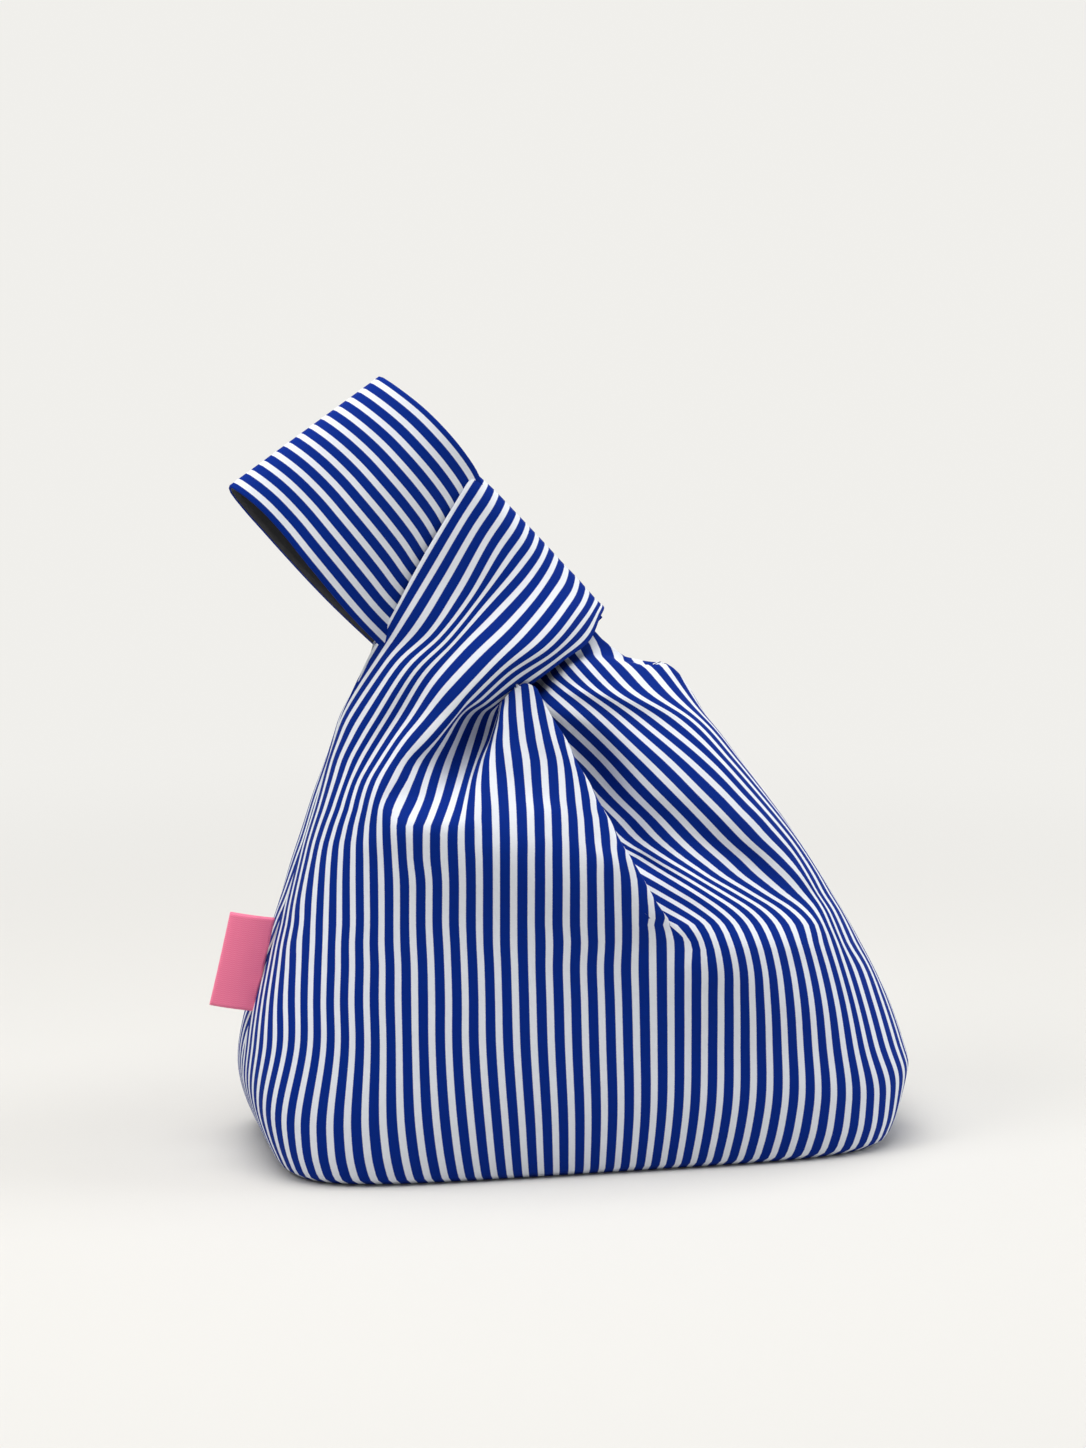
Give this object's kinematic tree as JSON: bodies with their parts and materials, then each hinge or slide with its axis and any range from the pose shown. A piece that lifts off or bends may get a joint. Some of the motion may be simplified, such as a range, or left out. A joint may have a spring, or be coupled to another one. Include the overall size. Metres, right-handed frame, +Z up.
{
  "type": "japanese knot bag",
  "caption": "Soft lined cloth wrist bag with a boxed base; the long handle threads through the short one, closing the mouth and leaving a wrist loop.",
  "frame": {"origin": "on the floor below the middle of the bag's box", "axes": "+Z up, +X to the right of the front, -Y towards the front; the wrist loop leans up and to the left"},
  "size_m": [0.2606, 0.1206, 0.2864],
  "materials": {
    "striped": "ribbed cotton, narrow royal blue and white stripes",
    "lining": "plain black lining, slightly smooth",
    "wadding": "soft fusible fleece",
    "label": "woven pink ribbon, plain"
  },
  "bodies": {
    "bag": {"outer_front_panel": "striped", "wadding_front": "wadding", "lining_front_panel": "lining", "outer_back_panel": "striped", "wadding_back": "wadding", "lining_back_panel": "lining", "left_side_seam": "striped", "right_side_seam": "striped", "base_seam": "striped", "short_handle_front": "striped", "short_handle_lining_front": "lining", "short_handle_back": "striped", "short_handle_lining_back": "lining", "long_handle_root_front": "striped", "long_handle_root_lining_front": "lining", "long_handle_root_back": "striped", "long_handle_root_lining_back": "lining"},
    "strap": {"long_handle_strap_front": "striped", "long_handle_strap_lining_front": "lining", "long_handle_strap_back": "striped", "long_handle_strap_lining_back": "lining"},
    "loop": {"long_handle_loop_front": "striped", "long_handle_loop_lining_front": "lining", "long_handle_loop_back": "striped", "long_handle_loop_lining_back": "lining"},
    "label": {"side_label": "label"}
  },
  "joints": [
    {"name": "long_handle_pull", "type": "slide", "parent": "bag", "child": "strap", "axis": [-0.682, 0, 0.7314], "range_m": [0, 0.02]},
    {"name": "loop_swing", "type": "hinge", "parent": "strap", "child": "loop", "pos_m": [-0.05898, 0, 0.23218], "axis": [0.7314, 0, 0.682], "range_deg": [-50, 50]},
    {"name": "label_swing", "type": "hinge", "parent": "bag", "child": "label", "pos_m": [-0.11088, 0, 0.06935], "axis": [0.3061, 0, 0.952], "range_deg": [-75, 75], "stiffness_Nm_per_rad": 0.0008}
  ]
}
